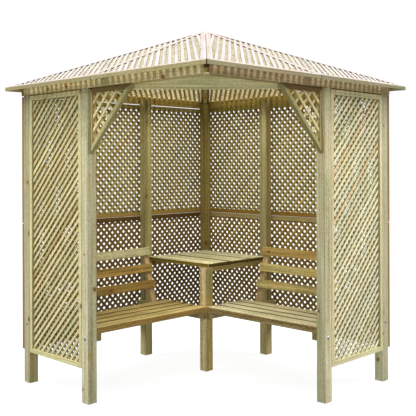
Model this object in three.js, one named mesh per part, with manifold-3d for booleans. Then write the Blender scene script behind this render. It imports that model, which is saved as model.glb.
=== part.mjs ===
// Corner arbour seat in pressure-treated softwood, millimetres, +Z up.
// The origin is on the ground under the peak of the roof. The back corner is at (-X, +Y), the open
// front corner at (+X, -Y). The left bench runs along Y, the right bench along X, and they mirror
// each other across the vertical plane x = -y.
import * as THREE from "three";
import { mergeVertices } from "three/addons/utils/BufferGeometryUtils.js";
import Module from "manifold-3d";

const wasm = await Module();
wasm.setup();

// ---- driving dimensions -------------------------------------------------------------------------
const HALF = 815; // post centre line, half of the square plan
const WING = 636; // spacing of the posts at each end of a bench
const POST = 63.5; // square post
const PLATE_Z = 1878; // underside of the wall plates, top of the front posts
const FRONT_PLATE = { depth: 64, width: POST };
const REAR_PLATE = { depth: 53, width: 27.7 };
const REAR_POST_TOP = 1909; // rear posts run up inside the rear plates
const HEADER = { bottom: 1849, height: 94, thick: 30, reach: 703 };

const EAVE = 934; // half side of the square roof
const PEAK = 2302; // top of the roof
const EAVE_TOP = 1932;
const ROOF_T = 24; // roof frame, measured vertically
const ROOF_RAIL = 32;
const HIP = { width: 28, depth: 40 };

const TRELLIS_T = 26; // frame of a rear trellis
const TRELLIS_RAIL = 30;
const END = { thick: 30, stile: 29, setback: 1, bottom: 203, joint: 4 }; // end trellises; joint: beside the front posts
const REAR_BOTTOM = 214;
const REAR_JOINT = 1037.5; // where the upper rear trellis stands over the lower one
const REAR_SLIT = 3;
const TRELLIS_TOP = 1871;
const CLOSE_TOP = 1876.5; // the right rear trellis reaches up to its plate
const INFILL = 10; // thickness that stands for two layers of laths
const BRACE = { leg: 388, top: 1873, rail: 26, thick: 27, setback: 14 };

const SEAT_Z = 450;
const SLAT = { width: 93, thick: 40, gap: 6, count: 4 };
const BEARER = { width: 35, depth: 44.7 };
const BACK = { width: 60, thick: 20, lean: 16.1, heights: [788, 674, 559], face: -667 }; // face: x of the middle one
const SUPPORT = { width: 44, thick: 28, top: 812, bottom: 368 };

const TABLE = { z: 736, thick: 28, front: 182, board: 199.6, open: 4 }; // open: joint behind the front board
const CLEAT = { width: 35, depth: 28 };
const GAP = 0.3; // clearance where two pieces touch

// ---- materials ----------------------------------------------------------------------------------
const timber = (hex) => new THREE.MeshStandardMaterial({ color: hex, roughness: 0.75, metalness: 0 });
const postWood = timber(0xb9b083);
const plateWood = timber(0xa3945f);
const roofWood = timber(0xe2dcc0);
const trellisWood = timber(0xb8ab74);
const seatWood = timber(0xb39d62);
const backWood = timber(0x9a7d3c);
const tableWood = timber(0xb7aa78);

const arbour = new THREE.Group();

function add(name, geometry, material) {
  const mesh = new THREE.Mesh(geometry, material);
  mesh.name = name;
  arbour.add(mesh);
  return mesh;
}

const rect = (x0, y0, x1, y1) => [
  [x0, y0],
  [x1, y0],
  [x1, y1],
  [x0, y1],
];
const slope = (PEAK - EAVE_TOP) / EAVE; // of the roof, downwards from the peak

// An axis-aligned board between two corners.
function board(name, material, x0, x1, y0, y1, z0, z1) {
  const mesh = add(name, new THREE.BoxGeometry(x1 - x0, y1 - y0, z1 - z0), material);
  mesh.position.set((x0 + x1) / 2, (y0 + y1) / 2, (z0 + z1) / 2);
  return mesh;
}

// A solid over a convex plan outline (counter-clockwise from above), between two sloping planes.
function overPlan(outline, bottomZ, topZ) {
  const n = outline.length;
  const at = [];
  for (const [x, y] of outline) at.push([x, y, bottomZ(x, y)]);
  for (const [x, y] of outline) at.push([x, y, topZ(x, y)]);
  const index = [];
  for (let i = 1; i < n - 1; i++) {
    index.push(0, i + 1, i);
    index.push(n, n + i, n + i + 1);
  }
  for (let i = 0; i < n; i++) {
    const j = (i + 1) % n;
    index.push(i, j, n + j, i, n + j, n + i);
  }
  const geometry = new THREE.BufferGeometry();
  geometry.setAttribute("position", new THREE.Float32BufferAttribute(at.flat(), 3));
  geometry.setIndex(index);
  const flat = geometry.toNonIndexed();
  flat.computeVertexNormals();
  return flat;
}

// ---- joining closed meshes ----------------------------------------------------------------------
function solid(geometry) {
  const bare = geometry.clone();
  for (const key of Object.keys(bare.attributes)) if (key !== "position") bare.deleteAttribute(key);
  const merged = mergeVertices(bare, 1e-3);
  return new wasm.Manifold(
    new wasm.Mesh({
      numProp: 3,
      vertProperties: merged.attributes.position.array,
      triVerts: new Uint32Array(merged.index.array),
    }),
  );
}

function joined(parts) {
  const made = parts.map(solid).reduce((a, b) => a.add(b));
  const mesh = made.getMesh();
  const geometry = new THREE.BufferGeometry();
  const count = mesh.vertProperties.length / mesh.numProp;
  const position = new Float32Array(count * 3);
  for (let i = 0; i < count; i++)
    for (let k = 0; k < 3; k++) position[3 * i + k] = mesh.vertProperties[i * mesh.numProp + k];
  geometry.setAttribute("position", new THREE.BufferAttribute(position, 3));
  geometry.setIndex([...mesh.triVerts]);
  const flat = geometry.toNonIndexed();
  flat.computeVertexNormals();
  return flat;
}

// A trellis: a flat frame in the XY plane with holes, 0 to thick in Z, joined to a thin infill sheet
// in the middle of its thickness that fills every hole.
function trellis(outline, holes, thick, infill) {
  const shape = new THREE.Shape(outline.map(([x, y]) => new THREE.Vector2(x, y)));
  for (const hole of holes) shape.holes.push(new THREE.Path(hole.map(([x, y]) => new THREE.Vector2(x, y))));
  const frame = new THREE.ExtrudeGeometry(shape, { depth: thick, bevelEnabled: false });
  const sheets = holes.map((hole) => {
    const cx = hole.reduce((s, p) => s + p[0], 0) / hole.length;
    const cy = hole.reduce((s, p) => s + p[1], 0) / hole.length;
    const wide = hole.map(([x, y]) => {
      const d = Math.hypot(x - cx, y - cy);
      return new THREE.Vector2(x + ((x - cx) / d) * 6, y + ((y - cy) / d) * 6);
    });
    const sheet = new THREE.ExtrudeGeometry(new THREE.Shape(wide), { depth: infill, bevelEnabled: false });
    sheet.translate(0, 0, (thick - infill) / 2);
    return sheet;
  });
  return { frame, sheets };
}

// ---- posts --------------------------------------------------------------------------------------
const h = POST / 2;
const OUT = HALF + h; // outer face of the posts
const INN = HALF - h; // inner face of the posts
const BENCH = HALF - WING; // centre line of the posts at the inner end of a bench
const post = (name, x, y, top) => board(name, postWood, x - h, x + h, y - h, y + h, 0, top);

post("post_left_outer", -HALF, -HALF, PLATE_Z);
post("post_left_front", -BENCH, -HALF, PLATE_Z);
post("post_left_rear", -HALF, BENCH, REAR_POST_TOP);
post("post_back_corner", -HALF, HALF, REAR_POST_TOP);
post("post_right_rear", -BENCH, HALF, REAR_POST_TOP);
post("post_right_front", HALF, BENCH, PLATE_Z);
post("post_right_outer", HALF, HALF, PLATE_Z);
post("post_table", -BENCH, BENCH, TABLE.z - TABLE.thick - GAP);

// ---- wall plates --------------------------------------------------------------------------------
// The front plates lie on the posts and run on to the open front corner, where each end is cut at
// 45 degrees beside the hip rafter. The rear plates stand outside the rear posts.
const slit = (HIP.width / 2 + GAP) * Math.SQRT2; // along an axis, from the diagonal to a plate's cut end
const flatZ = (z) => () => z;
const frontTop = PLATE_Z + FRONT_PLATE.depth;
add(
  "plate_front_left",
  overPlan(
    [
      [-OUT, -OUT],
      [OUT - slit, -OUT],
      [INN - slit, -INN],
      [-OUT, -INN],
    ],
    flatZ(PLATE_Z + GAP),
    flatZ(frontTop),
  ),
  plateWood,
);
const REAR_OUT = OUT + GAP + REAR_PLATE.width;
// the right one covers the end of the rear plate, where its top follows the rear slope of the roof
add(
  "plate_front_right",
  joined([
    overPlan(
      [
        [OUT, -OUT + slit],
        [OUT, OUT],
        [INN, OUT],
        [INN, -INN + slit],
      ],
      flatZ(PLATE_Z + GAP),
      flatZ(frontTop),
    ),
    overPlan(rect(INN, OUT, OUT, REAR_OUT), flatZ(PLATE_Z + GAP), (x, y) => frontTop - slope * (y - OUT)),
  ]),
  plateWood,
);
const rearTop = PLATE_Z + REAR_PLATE.depth;
board("plate_rear_left", plateWood, -REAR_OUT, -OUT - GAP, -OUT, REAR_OUT, PLATE_Z, rearTop);
board("plate_rear_right", plateWood, -OUT, INN - GAP, OUT + GAP, REAR_OUT, PLATE_Z, rearTop);

// ---- header beam across the open corner ---------------------------------------------------------
{
  const face = HEADER.reach * Math.SQRT2; // x - y on the front face
  const back = (HEADER.reach - HEADER.thick) * Math.SQRT2;
  const y = -INN + GAP;
  const x = INN - GAP;
  add(
    "front_header",
    overPlan(
      [
        [back + y, y],
        [face + y, y],
        [x, x - face],
        [x, x - back],
      ],
      flatZ(HEADER.bottom),
      flatZ(HEADER.bottom + HEADER.height),
    ),
    plateWood,
  );
}

// ---- roof ---------------------------------------------------------------------------------------
const roofTop = (v) => PEAK - slope * v; // v is the distance from the peak, square to the eave
const pitch = Math.atan(slope);

// Hip rafters: each lies under a hip, its top set down so that both roof planes clear its edges.
const hipTop = (s) => roofTop(s) - ROOF_T - (slope * HIP.width) / 2 / Math.SQRT2 - GAP;
function hipRafter(name, sx, sy, outline) {
  const s = (x, y) => (x * sx + y * sy) / 2;
  const place = outline.map(([x, y]) => [x * sx, y * sy]);
  const ring = sx * sy < 0 ? place.reverse() : place;
  add(name, overPlan(ring, (x, y) => hipTop(s(x, y)) - HIP.depth, (x, y) => hipTop(s(x, y))), plateWood);
}
const w = (HIP.width / 2) * Math.SQRT2; // half width of a rafter along an axis
// from the centre joint out to a square cut at distance e
const squareCut = (e) => [
  [w / 2 + GAP, -w / 2 + GAP],
  [e + w / 2, e - w / 2],
  [e - w / 2, e + w / 2],
  [-w / 2 + GAP, w / 2 + GAP],
];
hipRafter("hip_rafter_front", 1, -1, squareCut(BENCH + WING - 3));
hipRafter("hip_rafter_back", -1, 1, squareCut(HALF));
// the side rafters butt on the first pair and end against the front plates
const plateCut = [
  [w + GAP, GAP],
  [INN - GAP, INN - GAP - w],
  [INN - GAP, INN - GAP],
  [INN - GAP - w, INN - GAP],
  [GAP, w + GAP],
];
hipRafter("hip_rafter_left", -1, -1, plateCut);
hipRafter("hip_rafter_right", 1, 1, plateCut);

// Eight triangular roof trellises, two to a side, meeting on the line from the middle of the eave to
// the peak. Each is cut flat, then sheared up to the pitch, so its eave edge stays upright.
function roofPanel(name, turn, mirror) {
  const hipGap = 2.8; // along an axis
  const mid = 0.6;
  const rail = ROOF_RAIL;
  const outer = [
    [mid, mid + hipGap],
    [EAVE - hipGap, EAVE],
    [mid, EAVE],
  ];
  const eaveIn = EAVE - rail * Math.cos(pitch);
  const hipIn = hipGap + rail * Math.sqrt(1 + Math.cos(pitch) ** 2);
  const inner = [
    [mid + rail, mid + rail + hipIn],
    [eaveIn - hipIn, eaveIn],
    [mid + rail, eaveIn],
  ];
  const { frame, sheets } = trellis(outer, [inner], ROOF_T, INFILL);
  const geometry = joined([frame, ...sheets]);
  geometry.applyMatrix4(new THREE.Matrix4().makeTranslation(0, 0, -ROOF_T));
  // z falls by the slope along v
  geometry.applyMatrix4(new THREE.Matrix4().set(1, 0, 0, 0, 0, 1, 0, 0, 0, -slope, 1, PEAK, 0, 0, 0, 1));
  if (mirror) {
    geometry.applyMatrix4(new THREE.Matrix4().makeScale(-1, 1, 1));
    const p = geometry.attributes.position;
    for (let i = 0; i < p.count; i += 3) {
      const a = [p.getX(i + 1), p.getY(i + 1), p.getZ(i + 1)];
      p.setXYZ(i + 1, p.getX(i + 2), p.getY(i + 2), p.getZ(i + 2));
      p.setXYZ(i + 2, ...a);
    }
    geometry.computeVertexNormals();
  }
  const mesh = add(name, geometry, roofWood);
  mesh.rotation.z = turn;
  return mesh;
}
const quarter = Math.PI / 2;
// turn 0 puts the eave on the +Y side; mirror swaps the two halves of a side. The mid halves meet on the
// hips over the front and back corners.
roofPanel("roof_trellis_front_left_side", 2 * quarter, false);
roofPanel("roof_trellis_front_left_mid", 2 * quarter, true);
roofPanel("roof_trellis_front_right_side", -quarter, true);
roofPanel("roof_trellis_front_right_mid", -quarter, false);
roofPanel("roof_trellis_rear_left_mid", quarter, false);
roofPanel("roof_trellis_rear_left_side", quarter, true);
roofPanel("roof_trellis_rear_right_side", 0, false);
roofPanel("roof_trellis_rear_right_mid", 0, true);

// ---- wall trellises -----------------------------------------------------------------------------
// Upright panels: drawn with width along X and height along Y, stood up about the X axis, then turned
// about Z where they run along Y.
function wallPanel(name, width, height, stile, thick) {
  const hole = rect(stile, TRELLIS_RAIL, width - stile, height - TRELLIS_RAIL);
  const { frame, sheets } = trellis(rect(0, 0, width, height), [hole], thick, INFILL);
  const geometry = joined([frame, ...sheets]);
  geometry.rotateX(Math.PI / 2); // height becomes Z, thickness becomes -Y
  return add(name, geometry, trellisWood);
}

// end trellises, set between two posts
const endWidth = WING - POST - GAP - END.joint;
const endLeft = wallPanel("trellis_end_left", endWidth, TRELLIS_TOP - END.bottom, END.stile, END.thick);
endLeft.position.set(-INN + GAP, -OUT + END.setback + END.thick, END.bottom);
const endRight = wallPanel("trellis_end_right", endWidth, TRELLIS_TOP - END.bottom, END.stile, END.thick);
endRight.rotation.z = quarter;
endRight.position.set(OUT - END.setback - END.thick, BENCH + h + END.joint, END.bottom);

// rear trellises, fixed to the outer faces of the rear posts, an upper one standing over a lower one
const rearLevels = { lower: [REAR_BOTTOM, REAR_JOINT - REAR_SLIT / 2], upper: [REAR_JOINT + REAR_SLIT / 2, TRELLIS_TOP] };
const rearFace = OUT + GAP + TRELLIS_T; // their outer faces
for (const [level, [z0, z1]] of Object.entries(rearLevels)) {
  const left = wallPanel("trellis_rear_left_" + level, 2 * OUT - 2, z1 - z0, TRELLIS_RAIL, TRELLIS_T);
  left.rotation.z = quarter;
  left.position.set(-rearFace, -OUT + 2, z0);
  const top = level === "upper" ? CLOSE_TOP : z1;
  const right = wallPanel("trellis_rear_right_" + level, rearFace + OUT - 2, top - z0, TRELLIS_RAIL, TRELLIS_T);
  right.position.set(-rearFace, rearFace, z0);
}

// ---- knee braces: right-angled trellis triangles under the front plates --------------------------
function knee(name) {
  const { leg, rail, thick } = BRACE;
  // right angle at the origin, one leg along +X, the other down along -Y (later -Z)
  const outer = [
    [0, 0],
    [0, -leg],
    [leg, 0],
  ];
  const d = rail * Math.SQRT2;
  const inner = [
    [rail, -rail],
    [rail, -leg + rail + d],
    [leg - rail - d, -rail],
  ];
  const { frame, sheets } = trellis(outer, [inner], thick, INFILL);
  const geometry = joined([frame, ...sheets]);
  geometry.rotateX(Math.PI / 2);
  return add(name, geometry, trellisWood);
}
const kneeLeft = knee("knee_brace_left");
kneeLeft.position.set(-BENCH + h + GAP, -OUT + BRACE.setback + BRACE.thick, BRACE.top);
const kneeRight = knee("knee_brace_right");
// mirrored by turning about the upright axis: the leg then runs along -Y from the right front post
kneeRight.rotation.z = -quarter;
kneeRight.position.set(OUT - BRACE.setback, BENCH - h - GAP, BRACE.top);

// ---- benches ------------------------------------------------------------------------------------
// A board of the left bench, and its mirror image across x = -y for the right bench.
function pair(part, material, x0, x1, y0, y1, z0, z1) {
  board("left_" + part, material, x0, x1, y0, y1, z0, z1);
  board("right_" + part, material, -y1, -y0, -x1, -x0, z0, z1);
}
const benchFront = -BENCH + h; // front edge of the left seat, flush with the front post
const bearerTop = SEAT_Z - SLAT.thick - GAP;
pair("bearer_outer", seatWood, -OUT, benchFront, -INN + GAP, -INN + GAP + BEARER.width, bearerTop - BEARER.depth, bearerTop);
pair("bearer_inner", seatWood, -OUT, benchFront, BENCH - h - GAP - BEARER.width, BENCH - h - GAP, bearerTop - BEARER.depth, bearerTop);
for (let i = 0; i < SLAT.count; i++) {
  const x1 = benchFront - i * (SLAT.width + SLAT.gap);
  pair("seat_slat_" + (i + 1), seatWood, x1 - SLAT.width, x1, -INN + 1, BENCH - h - GAP, SEAT_Z - SLAT.thick, SEAT_Z);
}

// Leaning pieces, made for the left bench and mirrored for the right. The front faces of the back
// slats lie in one plane, and each piece's front face is set behind it by depth.
const lean = THREE.MathUtils.degToRad(BACK.lean);
function leaning(part, material, thick, width, y, length, z, depth) {
  const front = BACK.face - (z - BACK.heights[1]) * Math.tan(lean) - depth / Math.cos(lean);
  const x = front - (Math.cos(lean) * thick) / 2;
  const centre = z - (Math.sin(lean) * thick) / 2;
  const left = add("left_" + part, new THREE.BoxGeometry(thick, width, length), material);
  left.rotation.y = -lean;
  left.position.set(x, y, centre);
  const right = add("right_" + part, new THREE.BoxGeometry(width, thick, length), material);
  right.rotation.x = -lean;
  right.position.set(-y, -x, centre);
}
const outerIn = -INN + GAP + BEARER.width; // inner face of the outer bearer
const innerIn = BENCH - h - GAP - BEARER.width;
const backFrom = outerIn - 5;
const backTo = innerIn + 5;
BACK.heights.forEach((z, i) =>
  leaning("back_slat_" + (i + 1), backWood, BACK.thick, backTo - backFrom, (backFrom + backTo) / 2, BACK.width, z, 0),
);
// supports behind the back slats, fixed to the inner faces of the bearers
const supportZ = (SUPPORT.top + SUPPORT.bottom) / 2;
const supportL = (SUPPORT.top - SUPPORT.bottom) / Math.cos(lean);
const behind = BACK.thick + GAP;
leaning("back_support_outer", backWood, SUPPORT.thick, SUPPORT.width, outerIn + GAP + SUPPORT.width / 2, supportL, supportZ, behind);
leaning("back_support_inner", backWood, SUPPORT.thick, SUPPORT.width, innerIn - GAP - SUPPORT.width / 2, supportL, supportZ, behind);

// ---- table --------------------------------------------------------------------------------------
{
  const x0 = -INN + GAP;
  const x1 = -160;
  const y0 = TABLE.front;
  const y1 = INN - GAP;
  const z0 = TABLE.z - TABLE.thick;
  board("table_board_front", tableWood, x0, x1, y0, y0 + TABLE.board, z0, TABLE.z);
  const yMid = y0 + TABLE.board + TABLE.open;
  board("table_board_middle", tableWood, x0, x1, yMid, yMid + TABLE.board, z0, TABLE.z);
  board("table_board_back", tableWood, x0, x1, yMid + TABLE.board + GAP, y1, z0, TABLE.z);
  const zc = z0 - GAP;
  board("table_cleat_front", tableWood, x1 - CLEAT.width, x1, BENCH + h + GAP, y1, zc - CLEAT.depth, zc);
  board("table_cleat_rear", tableWood, x0, x0 + CLEAT.width, BENCH + h + GAP, y1, zc - CLEAT.depth, zc);
}

export default arbour;
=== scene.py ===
"""Corner arbour seat in pressure-treated softwood: looks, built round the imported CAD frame.

Metres, +Z up. The back corner is at (-X, +Y), the open front corner at (+X, -Y).
"""

import math
import random

import bpy
from mathutils import Matrix, Vector

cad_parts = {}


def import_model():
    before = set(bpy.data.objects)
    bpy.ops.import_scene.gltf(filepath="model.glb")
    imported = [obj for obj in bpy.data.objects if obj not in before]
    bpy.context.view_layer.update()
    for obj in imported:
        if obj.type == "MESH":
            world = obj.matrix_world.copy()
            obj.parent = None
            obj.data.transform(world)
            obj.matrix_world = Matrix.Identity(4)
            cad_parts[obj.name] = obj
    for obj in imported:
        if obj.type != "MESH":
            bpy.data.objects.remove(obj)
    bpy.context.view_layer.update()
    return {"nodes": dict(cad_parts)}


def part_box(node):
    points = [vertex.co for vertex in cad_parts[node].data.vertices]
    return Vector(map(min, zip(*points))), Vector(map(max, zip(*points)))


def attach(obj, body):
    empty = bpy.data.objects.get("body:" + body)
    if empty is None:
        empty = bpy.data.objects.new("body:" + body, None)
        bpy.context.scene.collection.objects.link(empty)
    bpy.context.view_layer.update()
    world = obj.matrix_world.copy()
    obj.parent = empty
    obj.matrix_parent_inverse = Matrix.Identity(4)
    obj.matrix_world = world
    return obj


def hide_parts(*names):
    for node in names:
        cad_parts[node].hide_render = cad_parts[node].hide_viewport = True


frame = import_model()
nodes = frame["nodes"]
MM = 0.001


def lin(r, g, b):
    """sRGB 0-255 to linear."""
    out = []
    for c in (r, g, b):
        c /= 255.0
        out.append(c / 12.92 if c <= 0.04045 else ((c + 0.055) / 1.055) ** 2.4)
    return tuple(out)


def mul(c, k):
    if isinstance(k, (int, float)):
        k = (k, k, k)
    return tuple(min(0.95, max(0.004, a * b)) for a, b in zip(c, k))


# ---- colours of the timber, sRGB 0-255 ---------------------------------------------------------------
# Softwood takes the green treatment unevenly, so each board has a colour of its own. These colours also carry painted
# light and shade: each one is matched to how brightly that board and face is lit. "/side" is the pair of faces across
# the board's second direction, a painted lit or shaded copy of the board's colour, and "/end" is the end grain. The
# dark "/side" colours of the seat slats and table boards are painted shade in the joints between them.
PAINT = {
    "post_left_outer": (170, 169, 141),
    "post_left_outer/side": (184, 170, 122),
    "post_left_front": (187, 185, 156),
    "post_left_front/side": (201, 197, 163),
    "post_right_front": (206, 202, 167),
    "post_right_front/side": (196, 189, 160),
    "post_right_outer": (213, 216, 181),
    "post_right_outer/side": (177, 173, 148),
    "post_left_rear": (178, 170, 121),
    "post_left_rear/side": (148, 138, 90),
    "post_back_corner": (145, 128, 71),
    "post_back_corner/side": (145, 128, 71),
    "post_right_rear": (147, 139, 98),
    "post_right_rear/side": (169, 154, 107),
    "post_table": (230, 211, 166),
    "post_table/side": (202, 178, 111),
    "plate_front_left": (197, 187, 134),
    "plate_front_left/side": (213, 203, 153),
    "plate_front_right": (175, 160, 118),
    "plate_front_right/side": (192, 173, 136),
    "plate_rear_left": (190, 170, 100),
    "plate_rear_right": (186, 166, 96),
    "front_header": (250, 250, 206),
    "hip_rafter_front": (150, 138, 90),
    "hip_rafter_back": (212, 200, 155),
    "hip_rafter_left": (150, 138, 90),
    "hip_rafter_right": (150, 138, 90),
    "left_bearer_outer": (176, 160, 108),
    "left_bearer_inner": (176, 160, 108),
    "right_bearer_outer": (176, 160, 108),
    "right_bearer_inner": (176, 160, 108),
    "left_seat_slat_1": (188, 171, 109),
    "left_seat_slat_1/side": (170, 138, 76),
    "left_seat_slat_2": (177, 158, 97),
    "left_seat_slat_2/side": (62, 44, 18),
    "left_seat_slat_3": (173, 154, 94),
    "left_seat_slat_3/side": (62, 44, 18),
    "left_seat_slat_4": (170, 152, 94),
    "left_seat_slat_4/side": (62, 44, 18),
    "right_seat_slat_1": (205, 198, 159),
    "right_seat_slat_1/side": (176, 154, 104),
    "right_seat_slat_2": (209, 202, 165),
    "right_seat_slat_2/side": (96, 80, 44),
    "right_seat_slat_3": (202, 193, 157),
    "right_seat_slat_3/side": (96, 80, 44),
    "right_seat_slat_4": (194, 185, 144),
    "right_seat_slat_4/side": (96, 80, 44),
    "left_back_slat_1": (181, 174, 134),
    "left_back_slat_1/side": (190, 176, 126),
    "left_back_slat_2": (166, 133, 70),
    "left_back_slat_2/side": (168, 138, 78),
    "left_back_slat_3": (142, 117, 56),
    "left_back_slat_3/side": (168, 138, 78),
    "right_back_slat_1": (168, 139, 77),
    "right_back_slat_1/side": (192, 166, 100),
    "right_back_slat_2": (186, 171, 110),
    "right_back_slat_2/side": (184, 166, 104),
    "right_back_slat_3": (175, 160, 103),
    "right_back_slat_3/side": (190, 166, 112),
    "left_back_support_outer": (198, 172, 130),
    "left_back_support_inner": (198, 172, 130),
    "right_back_support_outer": (198, 172, 130),
    "right_back_support_inner": (198, 172, 130),
    "table_board_front": (212, 207, 165),
    "table_board_front/side": (125, 110, 36),
    "table_board_front/end": (82, 66, 16),
    "table_board_middle": (216, 212, 172),
    "table_board_middle/side": (74, 58, 28),
    "table_board_middle/end": (82, 66, 16),
    "table_board_back": (212, 207, 168),
    "table_board_back/side": (74, 58, 28),
    "table_board_back/end": (82, 66, 16),
    "table_cleat_front": (150, 132, 82),
    "table_cleat_rear": (150, 132, 82),
    "end_left_frame": (205, 198, 153),
    "end_left_laths": (208, 201, 156),
    "end_left_inner": (193, 185, 134),
    "end_right_frame": (210, 202, 164),
    "end_right_laths": (219, 218, 189),
    "end_right_inner": (205, 202, 164),
    "rear_left_upper": (154, 144, 88),
    "rear_right_upper": (157, 146, 86),
    "rear_left_lower": (121, 100, 46),
    "rear_right_lower": (150, 127, 58),
    "rear_left_upper_rail": (145, 120, 61),
    "rear_left_lower_rail": (85, 61, 12),
    "rear_right_upper_rail": (130, 101, 32),
    "rear_right_lower_rail": (163, 148, 100),
    "brace_strut": (173, 170, 121),
    "brace_frame": (176, 162, 116),
    "brace_laths": (228, 220, 174),
    # painted light and shade: the roof_front colours are painted as lit from above, and the roof_rear ones as shaded
    # from below; the roof_rear laths are painted near white, as painted light showing between the laths below them
    "roof_front_frame": (154, 145, 146),
    "roof_front_laths": (155, 153, 158),
    "roof_front_under": (178, 170, 148),
    "roof_rear_frame": (176, 164, 120),
    "roof_rear_laths": (250, 248, 228),
    "roof_rear_under": (196, 181, 100),
    "rear_left_strip": (164, 130, 76),
    "rear_outside": (176, 166, 120),
    "rear_right_strip": (150, 124, 74),
}


def paint(key, other=None, factor=1.0):
    return lin(*PAINT[key]) if key in PAINT else mul(lin(*PAINT[other]), factor)


# ---- node helpers ----------------------------------------------------------------------------------


class Net:
    """Small helper to write node trees."""

    def __init__(self, tree):
        self.t = tree

    def add(self, kind, **props):
        n = self.t.nodes.new(kind)
        for k, v in props.items():
            setattr(n, k, v)
        return n

    def link(self, a, b):
        self.t.links.new(a, b)

    def put(self, socket, value):
        if isinstance(value, bpy.types.NodeSocket):
            self.link(value, socket)
        else:
            socket.default_value = value

    def math(self, op, a, b=0.0, c=0.0, clamp=False):
        n = self.add("ShaderNodeMath", operation=op, use_clamp=clamp)
        self.put(n.inputs[0], a)
        self.put(n.inputs[1], b)
        if len(n.inputs) > 2:
            self.put(n.inputs[2], c)
        return n.outputs[0]

    def vmath(self, op, a, b=(0, 0, 0), scale=None):
        n = self.add("ShaderNodeVectorMath", operation=op)
        self.put(n.inputs[0], a)
        if op not in ("LENGTH", "NORMALIZE", "ABSOLUTE", "SCALE", "FLOOR", "FRACTION"):
            self.put(n.inputs[1], b)
        if scale is not None:
            self.put(n.inputs["Scale"], scale)
        return n.outputs["Value"] if op in ("LENGTH", "DOT_PRODUCT", "DISTANCE") else n.outputs["Vector"]

    def noise(self, vec, scale=1.0, detail=2.0, rough=0.5, distortion=0.0):
        n = self.add("ShaderNodeTexNoise", noise_dimensions="3D")
        self.put(n.inputs["Vector"], vec)
        n.inputs["Scale"].default_value = scale
        n.inputs["Detail"].default_value = detail
        n.inputs["Roughness"].default_value = rough
        n.inputs["Distortion"].default_value = distortion
        return n.outputs["Fac"]

    def range(self, v, a, b, c=0.0, d=1.0, smooth=False):
        n = self.add("ShaderNodeMapRange", interpolation_type="SMOOTHSTEP" if smooth else "LINEAR")
        self.put(n.inputs["Value"], v)
        n.inputs["From Min"].default_value = a
        n.inputs["From Max"].default_value = b
        self.put(n.inputs["To Min"], c)
        self.put(n.inputs["To Max"], d)
        return n.outputs["Result"]

    def mix(self, fac, a, b, blend="MIX"):
        n = self.add("ShaderNodeMix", data_type="RGBA", blend_type=blend)
        self.put(n.inputs[0], fac)
        self.put(n.inputs[6], a if isinstance(a, bpy.types.NodeSocket) else (*a, 1.0))
        self.put(n.inputs[7], b if isinstance(b, bpy.types.NodeSocket) else (*b, 1.0))
        return n.outputs[2]


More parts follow.
